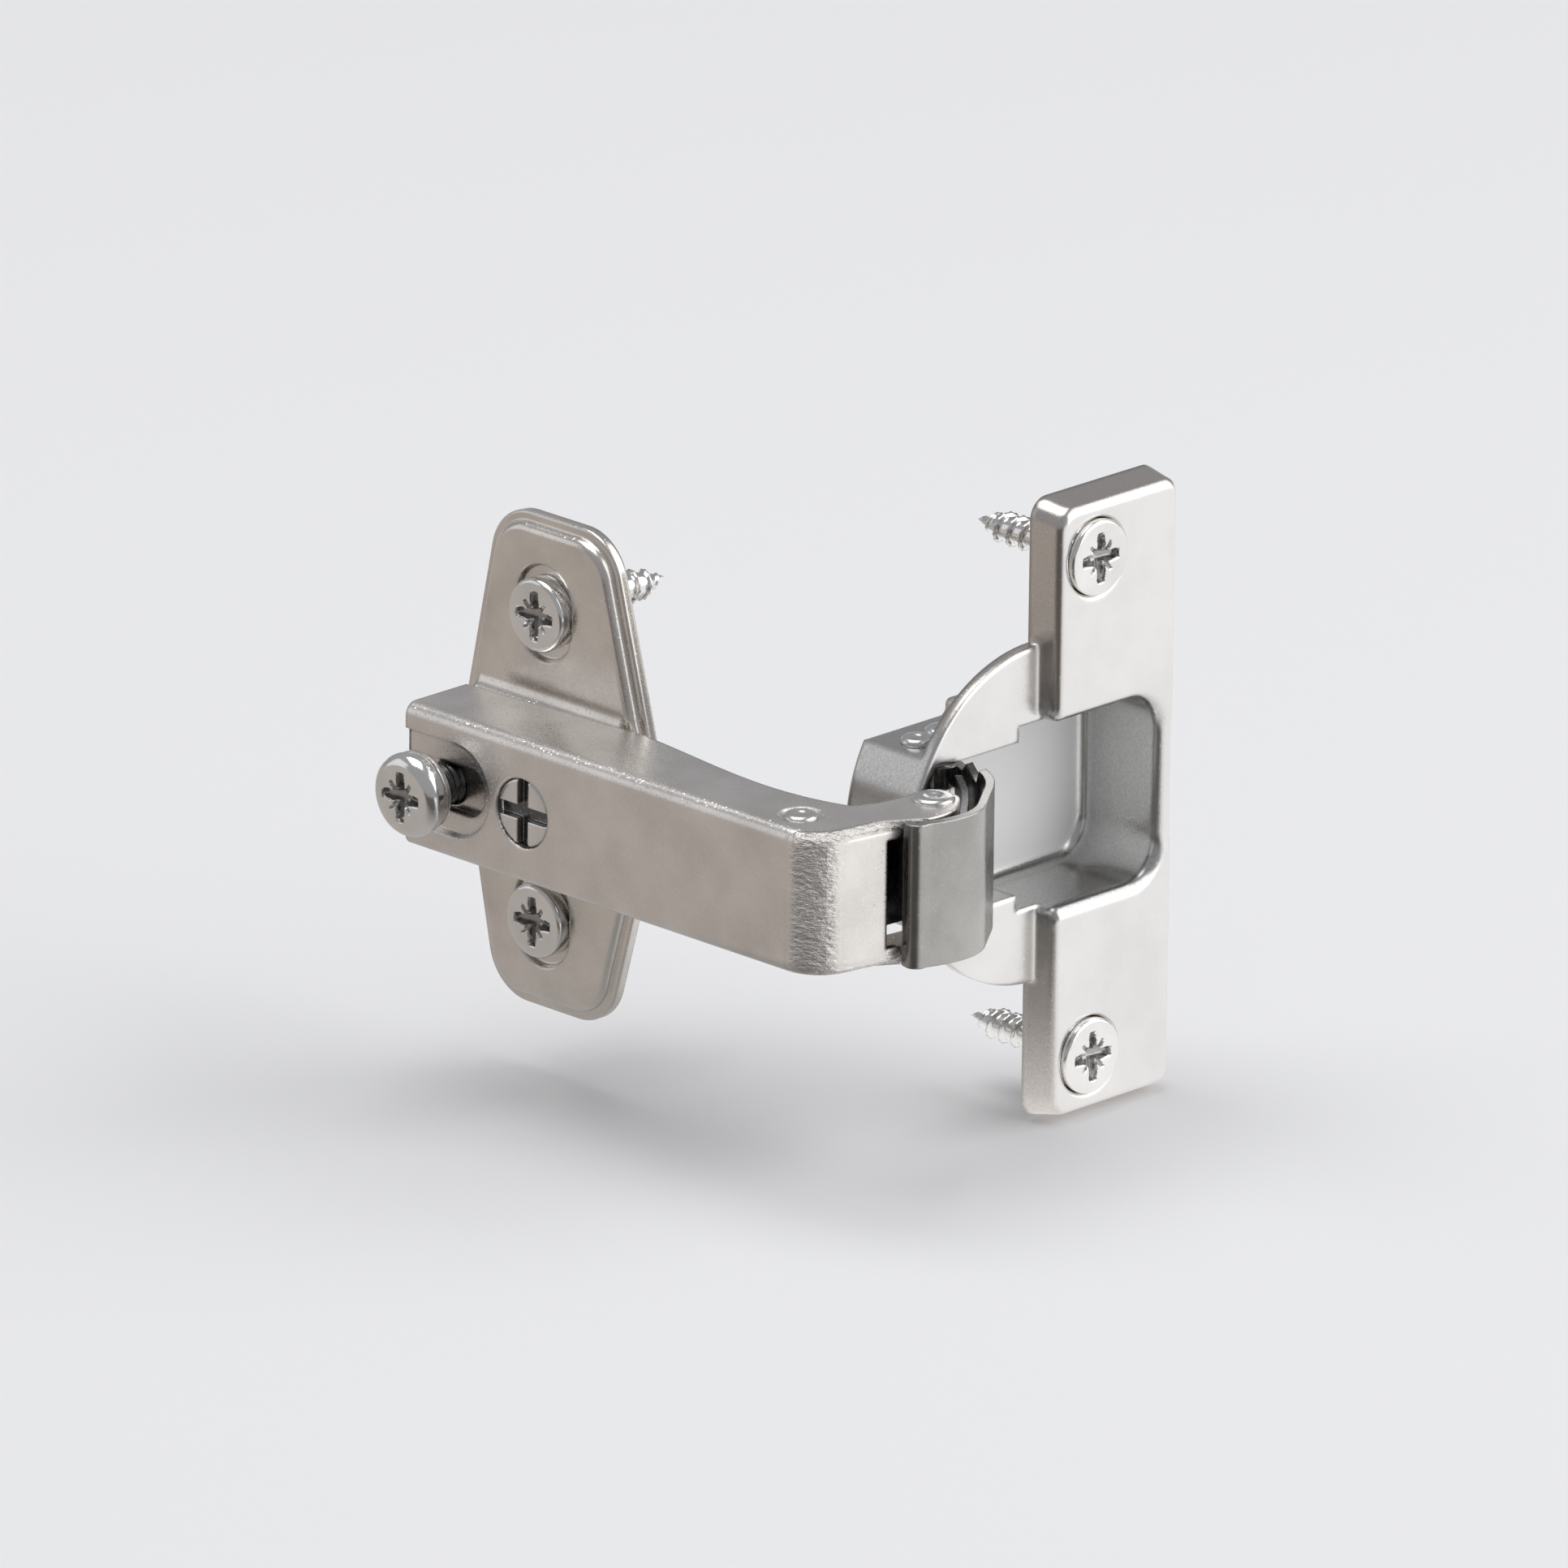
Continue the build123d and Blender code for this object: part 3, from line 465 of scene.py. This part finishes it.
def swept_piece(name, radius, height, plane, material, body, replaced, finish=None):
    """A closed surface from two arrays of rows by columns: the distance from the axis and the
    height along it, in mm. The plane gives the origin, the first side direction and the axis.
    An array finish says for each point whether it is plated, darker zinc as a painted shade in a
    recess, or near-black steel as a painted shadow on a thread."""
    origin, side, axis = (np.array(vector, float) for vector in plane)
    other = np.cross(axis, side)
    rows, columns = radius.shape
    angle = np.linspace(0, 2 * np.pi, columns, endpoint=False)
    spread = np.cos(angle)[:, None] * side + np.sin(angle)[:, None] * other
    ring_points = origin + radius[..., None] * spread + height[..., None] * axis
    first = origin + height[0].mean() * axis
    last = origin + height[-1].mean() * axis
    points = np.concatenate([[first], ring_points.reshape(-1, 3), [last]]) * MM

    column = np.arange(columns)
    beside = (column + 1) % columns
    upper = 1 + np.arange(rows - 1)[:, None] * columns
    lower = upper + columns
    quads = np.stack([upper + column, lower + column, lower + beside, upper + beside], -1)
    start = 1 + (rows - 1) * columns
    top = np.stack([np.zeros_like(column), 1 + column, 1 + beside], -1)
    tip = np.stack([np.full_like(column, len(points) - 1), start + beside, start + column], -1)
    faces = [*top.tolist(), *quads.reshape(-1, 4).tolist(), *tip.tolist()]

    mesh = bpy.data.meshes.new(name)
    mesh.from_pydata(points.tolist(), [], faces)
    mesh.polygons.foreach_set("use_smooth", np.ones(len(mesh.polygons), bool))
    mesh.materials.append(material)
    if finish is not None:
        mesh.materials.append(recess_shade_zinc)
        mesh.materials.append(shaded_thread_steel)
        between = np.maximum(finish[:-1], finish[1:])
        choice = np.concatenate([finish[0], between.ravel(), finish[-1]]).astype(np.int32)
        mesh.polygons.foreach_set("material_index", choice)
    piece = bpy.data.objects.new(name, mesh)
    bpy.context.scene.collection.objects.link(piece)
    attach(piece, body)
    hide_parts(replaced)
    print(name, len(mesh.polygons), "faces")


def profile_rows(corners, step):
    """Points along a profile of (radius, height) corners, no farther apart than the step."""
    rows = [np.array(corners[0], float)[None]]
    for start, end in zip(corners, corners[1:]):
        start, end = np.array(start, float), np.array(end, float)
        count = max(1, int(np.ceil(np.linalg.norm(end - start) / step)))
        share = (np.arange(count) + 1)[:, None] / count
        rows.append(start + share * (end - start))
    return np.concatenate(rows)


def rounded(centre, round_radius, from_angle, to_angle, count=7):
    """Points on an arc about a centre, for a rounded edge of a profile. Angles in degrees."""
    angle = np.radians(np.linspace(from_angle, to_angle, count))
    return [(centre[0] + round_radius * np.cos(a), centre[1] + round_radius * np.sin(a)) for a in angle]


# %% [markdown]
# ## The cross recess
#
# The driver's recess has four wings and, between them, four small ribs. Its depth is a function
# of the place on the head: for each wing, the depth grows steeply from the wing's walls to its
# floor, and the floor slopes down to the middle. The deepest wing wins. The driver has worked in
# these recesses, so a slow wave makes their walls uneven. Their metal is painted darker, a painted
# shade in the recess.

# %% Recess depth
# From this depth in mm on, a recess takes the darker zinc, a painted shade.
SHADE_FROM = 0.12


def recess_depth(x, y, span=5.1, width=1.3, depth=1.4, rib_span=4.1, rib_width=0.6, rib_depth=0.55):
    """Depth of a cross recess at places on a head, in mm: the larger of wings and ribs."""

    def wing(along, across, reach, breadth, deepest, wall_slope):
        """The least of the wall's, the end's and the floor's depth, and nothing outside. The wall
        closes in by two fifths towards the end, and the floor rises by nearly a half."""
        tapering = breadth / 2 * (1.15 - 0.45 * np.abs(along) / reach)
        wall = (tapering - np.abs(across)) * wall_slope
        end = (reach - np.abs(along)) * wall_slope * 0.8
        floor = deepest * (1.0 - 0.45 * np.abs(along) / reach)
        return np.clip(np.minimum(np.minimum(wall, end), floor), 0, None)

    unevenness = 0.05 * np.sin(5.1 * x + 1.3) * np.cos(4.3 * y + 0.4)
    x, y = x + unevenness, y - unevenness
    wings = np.maximum(
        wing(x, y, span / 2, width, depth, 4.5),
        wing(y, x, span / 2, width, depth, 4.5),
    )
    slant, counter = (x + y) / np.sqrt(2), (y - x) / np.sqrt(2)
    ribs = np.maximum(
        wing(slant, counter, rib_span / 2, rib_width, rib_depth, 3.0),
        wing(counter, slant, rib_span / 2, rib_width, rib_depth, 3.0),
    )
    return np.maximum(wings, ribs)


# %% [markdown]
# ## Threads
#
# A thread is a ridge that climbs one pitch in each turn. Along the shank, the phase is the
# distance in pitches plus the share of a turn, and the radius is the core plus a ridge of that
# phase. A chipboard screw has a thin, tall ridge with a wide flat between turns. The clamp screw
# has a machine thread, all flanks.


# %% Thread radius
def thread_radius(down, columns, core, crest, pitch, ridge_share, tip_length, length, lead_in=0.5):
    """Radius over rows (distance down the shank) and columns (angle). The ridge is a triangle
    that takes ridge_share of the pitch. It fades in at the neck, and all fades out at the tip."""
    turn = np.linspace(0, 1, columns, endpoint=False)
    phase = (down[:, None] / pitch - turn[None]) % 1.0
    ridge = np.clip(1 - np.abs(phase - 0.5) / (ridge_share / 2), 0, 1)
    fade_in = np.clip(down / lead_in, 0, 1)[:, None]
    body = core + (crest - core) * ridge * fade_in
    if tip_length:
        taper = np.clip((length - down) / tip_length, 0.02, 1)[:, None]
        body = body * taper ** 0.8
    return body


# %% Threaded screw
def seat_of(node, axis, head_height):
    """The middle of a screw's seat, in mm: on the middle line of its CAD node, and as far below
    the node's top along the axis as the head is high."""
    low, high = corners_of(node)
    axis = np.array(axis)
    top = np.where(axis > 0, high, low)
    return np.where(axis == 0, middle_of(node), top - head_height * axis).round(2)


def threaded_screw(name, node, body, head, shank, side, axis, columns=112):
    """A whole screw in the place of a CAD node, with its axis out of the head. The head is a list
    of (radius, height) corners from the middle of its top to the shank. The recess is sunk into
    the rows of the flat top, and is painted darker, a painted shade, where it is deeper than the
    threshold above. The shank is a dictionary for thread_radius with its length."""
    rows = profile_rows(head, 0.11)
    radius = np.repeat(rows[1:, :1], columns, axis=1)
    height = np.repeat(rows[1:, 1:], columns, axis=1)
    angle = np.linspace(0, 2 * np.pi, columns, endpoint=False)
    top = rows[1:, 1] > head[0][1] - 0.35
    x, y = radius * np.cos(angle), radius * np.sin(angle)
    depth = np.where(top[:, None], recess_depth(x, y), 0.0)
    height -= depth
    length, start = shank["length"], head[-1][1]
    down = np.linspace(0, length, int(length / shank["row_mm"]))[1:]
    shank_radius = thread_radius(
        down, columns, shank["core"], shank["crest"], shank["pitch"], shank["ridge"],
        shank.get("tip", 0.0), length,
    )
    shank_height = np.repeat((start - down)[:, None], columns, axis=1)
    shank_finish = np.full(shank_radius.shape, shank.get("finish", PLATED))
    finish = np.concatenate([np.where(depth > SHADE_FROM, SHADED_RECESS, PLATED), shank_finish])
    radius = np.concatenate([radius, shank_radius])
    height = np.concatenate([height, shank_height])
    plane = (seat_of(node, axis, head_height=head[0][1]), side, axis)
    swept_piece(name, radius, height, plane, screw_zinc, body, node, finish)


# %% [markdown]
# ## Chipboard screws
#
# The plate's two screws have tall pan heads that sit in its dished seats. The cup's two have low
# countersunk heads. Each head is a short list of radii and heights, as a lathe would turn it, and
# each shank is the same: 16 mm long with the point, less what the head takes of it.

# %% Chipboard screws of the plate and the cup
SCREW_LENGTH = 16.0
chipboard = {"core": 1.2, "crest": 1.75, "pitch": 1.7, "ridge": 0.34, "row_mm": 0.13, "tip": 3.5}
plate_head = [
    (0.0, 2.1), (3.2, 2.1), *rounded((3.3, 1.6), 0.5, 78, 0), (3.8, 0.35),
    (3.6, 0.02), (2.1, 0.0), (2.0, -0.1), (2.0, -1.5), (1.7, -1.75), (1.3, -1.8),
]
cup_head = [
    (0.0, 0.8), (3.4, 0.8), *rounded((3.5, 0.4), 0.4, 78, 0), (3.9, 0.0),
    (1.8, -2.1), (1.3, -2.2),
]
for end in ("upper", "lower"):
    threaded_screw(
        f"plate_chipboard_screw_{end}", f"plate_screw_{end}", "plate",
        plate_head, {**chipboard, "length": SCREW_LENGTH + plate_head[-1][1]},
        side=(1, 0, 0), axis=(0, -1, 0),
    )
    threaded_screw(
        f"cup_chipboard_screw_{end}", f"cup_screw_{end}", "cup",
        cup_head, {**chipboard, "length": SCREW_LENGTH + cup_head[-1][1]},
        side=(0, 1, 0), axis=(1, 0, 0),
    )

# %% [markdown]
# ## The clamp screw
#
# Loosened in its slot, it shows all of itself: a domed pan head, a groove where the head meets
# its collar, and the machine thread below. The same functions make it, with a finer pitch and
# a ridge as wide as the pitch, and its thread is a near-black steel, a painted shadow for the
# shade that it sits in within the slot.

# %% Clamp screw
clamp_head = [
    (0.0, 3.4), (2.6, 3.36), *rounded((2.9, 1.96), 1.4, 78, 5, 12), (4.3, 1.3), (4.22, 1.05),
    (3.95, 0.95), (3.85, 0.8), (3.9, 0.7), (3.9, 0.15), (3.75, 0.0), (2.35, 0.0), (2.0, -0.05),
]
# The thread takes the near-black steel, a painted shadow.
machine = {"core": 1.85, "crest": 2.25, "pitch": 0.8, "ridge": 1.0, "row_mm": 0.1, "finish": SHADED_THREAD}
threaded_screw(
    "clamp_machine_screw", "clamp_screw", "clamp",
    clamp_head, {**machine, "length": 8.5},
    side=(1, 0, 0), axis=(0, -1, 0),
)

# %% [markdown]
# ## Riveted pins
#
# Each pin is headed by a press after it is through its holes. The press leaves a low dome with a
# shallow dimple in the middle and a small step round it. The profile is turned about the pin's
# own axis, and the same profile upside down closes the other end.

# %% Pins
WITHIN_CAD = 0.05


def riveted_pin(name, node, body, radius, head_height, columns=64):
    """A pin along Z in the place of a CAD node: a dimpled, stepped dome at each end and a straight
    shank between. The heads are as broad as the node's, and end a little within it."""
    low, high = corners_of(node)
    head_radius = (high[0] - low[0]) / 2
    crown = high[2] - WITHIN_CAD
    half_length = crown - head_height
    half = [
        (0.0, crown - 0.22), (0.28 * head_radius, crown - 0.2), (0.45 * head_radius, crown - 0.02),
        (0.6 * head_radius, crown), (0.8 * head_radius, crown - 0.1 * head_height),
        (0.93 * head_radius, crown - 0.4 * head_height), (head_radius, crown - 0.75 * head_height),
        (head_radius, half_length), (radius, half_length - 0.02),
    ]
    corners = half + [(r, -h) for r, h in reversed(half)]
    rows = profile_rows(corners, 0.25)[1:-1]
    grid = np.ones(columns)
    swept_piece(
        name, rows[:, :1] * grid, rows[:, 1:] * grid,
        (middle_of(node), (1, 0, 0), (0, 0, 1)), pin_steel, body, node,
    )


riveted_pin("riveted_pin_rear", "arm_pin_rear", "arm", radius=1.0, head_height=0.5)
riveted_pin("riveted_pin_front", "arm_pin_front", "arm", radius=1.3, head_height=0.5)
riveted_pin("riveted_cup_pin_inner", "cup_pin_inner", "cup", radius=1.0, head_height=0.65)
riveted_pin("riveted_cup_pin_outer", "cup_pin_outer", "cup", radius=1.0, head_height=0.65)

# %% [markdown]
# ## The floor
#
# A pale floor runs out past the edge of the view, just under the lowest edge of the hinge. It is
# staging, so it takes no part in the object's size, and one large square is enough of it.

# %% Floor
FLOOR_GAP, FLOOR_HALF = 0.3 * MM, 3.0
floor_z = cad_box[0][2] - FLOOR_GAP
floor_mesh = bpy.data.meshes.new("floor")
floor_mesh.from_pydata(
    [(-FLOOR_HALF, -FLOOR_HALF, floor_z), (FLOOR_HALF, -FLOOR_HALF, floor_z),
     (FLOOR_HALF, FLOOR_HALF, floor_z), (-FLOOR_HALF, FLOOR_HALF, floor_z)],
    [], [(0, 1, 2, 3)],
)
floor = bpy.data.objects.new("floor", floor_mesh)
bpy.context.scene.collection.objects.link(floor)
print("floor at", round(floor_z / MM, 2), "mm")

# %% [markdown]
# ## What the metal shows of the floor
#
# Bare metal is little more than a picture of what stands round it, and here that is mostly floor.
# Boards and cards could be stood beside the hinge, as in a studio, but they would get into the
# view. The floor's paper does their work instead. To the camera it is matt and pale. Only in a
# reflection it glows: fully past the cup, half as much behind the plate, and dim and warm in
# front of the arm, so that the cup turns white, the plate grey and the arm a warm grey. Each of
# these sets in over its own strip of floor, given in millimetres.

# %% Floor paper
PAST_CUP, BEHIND_PLATE, IN_FRONT = 1.0, 0.47, 0.13
TOWARDS_CUP = (0.3, 0.9, 0)
CUP_STRIP, PLATE_STRIP, TINT_STRIP = (-10, 35), (70, 5), (-40, 10)
WHITE, WARM = (1, 1, 1, 1), (1, 0.925, 0.865, 1)

paper = bpy.data.materials.new("pale floor")
paper.use_nodes = True
graph = Graph(paper.node_tree)
spot = graph.add("ShaderNodeTexCoord").outputs["Object"]
across = graph.add("ShaderNodeVectorMath", {0: spot, 1: TOWARDS_CUP}, operation="DOT_PRODUCT")
across = across.outputs["Value"]
along = graph.add("ShaderNodeSeparateXYZ", {"Vector": spot}).outputs["X"]
past_cup = graph.ramp(across, CUP_STRIP[0] * MM, CUP_STRIP[1] * MM, IN_FRONT, PAST_CUP)
behind_plate = graph.ramp(along, PLATE_STRIP[0] * MM, PLATE_STRIP[1] * MM, 0.0, BEHIND_PLATE)
glow = graph.math("MAXIMUM", past_cup, behind_plate)
tint = graph.mix(graph.ramp(across, TINT_STRIP[0] * MM, TINT_STRIP[1] * MM), WARM, WHITE)
shown = graph.add("ShaderNodeEmission", {"Color": tint, "Strength": glow})
matt = graph.add("ShaderNodeBsdfPrincipled", {"Base Color": (0.86, 0.86, 0.87, 1), "Roughness": 0.9})
in_metal = graph.add("ShaderNodeLightPath").outputs["Is Glossy Ray"]
pick = graph.add("ShaderNodeMixShader", {0: in_metal})
graph.link(matt.outputs["BSDF"], pick.inputs[1])
graph.link(shown.outputs["Emission"], pick.inputs[2])
graph.add("ShaderNodeOutputMaterial", {"Surface": pick.outputs["Shader"]})
floor_mesh.materials.append(paper)

# %% [markdown]
# ## Sky and lamps
#
# A plain sky fills the shadows. It lights weakly, and the camera sees it at the brightness of
# paper. Three square lamps stand round the hinge. Metal shows the lamps themselves, so their size
# matters more than their power: a small strong one would burn a white patch into the cup, and
# the same light from a broad one turns the whole flange an even white.

# %% World
world = bpy.data.worlds.new("studio")
bpy.context.scene.world = world
world.use_nodes = True
graph = Graph(world.node_tree)
soft = graph.add("ShaderNodeBackground", {"Color": (0.86, 0.87, 0.9, 1), "Strength": 0.40})
seen = graph.add("ShaderNodeBackground", {"Color": (0.86, 0.86, 0.88, 1), "Strength": 1.0})
by_camera = graph.add("ShaderNodeLightPath").outputs["Is Camera Ray"]
pick = graph.add("ShaderNodeMixShader", {0: by_camera})
graph.link(soft.outputs[0], pick.inputs[1])
graph.link(seen.outputs[0], pick.inputs[2])
graph.add("ShaderNodeOutputWorld", {"Surface": pick.outputs[0]})


# %% Lamps
def lamp(name, place, target, size, power):
    """A square soft lamp at a place in metres, turned towards a target."""
    light = bpy.data.lights.new(name, "AREA")
    light.shape, light.size, light.energy = "SQUARE", size, power
    holder = bpy.data.objects.new(name, light)
    direction = Vector(target) - Vector(place)
    holder.location = place
    holder.rotation_mode = "QUATERNION"
    holder.rotation_quaternion = direction.to_track_quat("-Z", "Y")
    bpy.context.scene.collection.objects.link(holder)


middle = (0.02, 0.0, 0.0)
lamp("beside the cup", (1.1, 0.9, 0.7), middle, 2.0, 19)
lamp("overhead", (-0.3, -0.2, 1.6), middle, 1.2, 12)
lamp("front", (-1.2, -0.9, 0.5), middle, 1.0, 1.5)

# %% [markdown]
# ## Finish
#
# The plain Standard view shows each colour about as it is written.

# %% Finish
bpy.context.scene.view_settings.view_transform = "Standard"
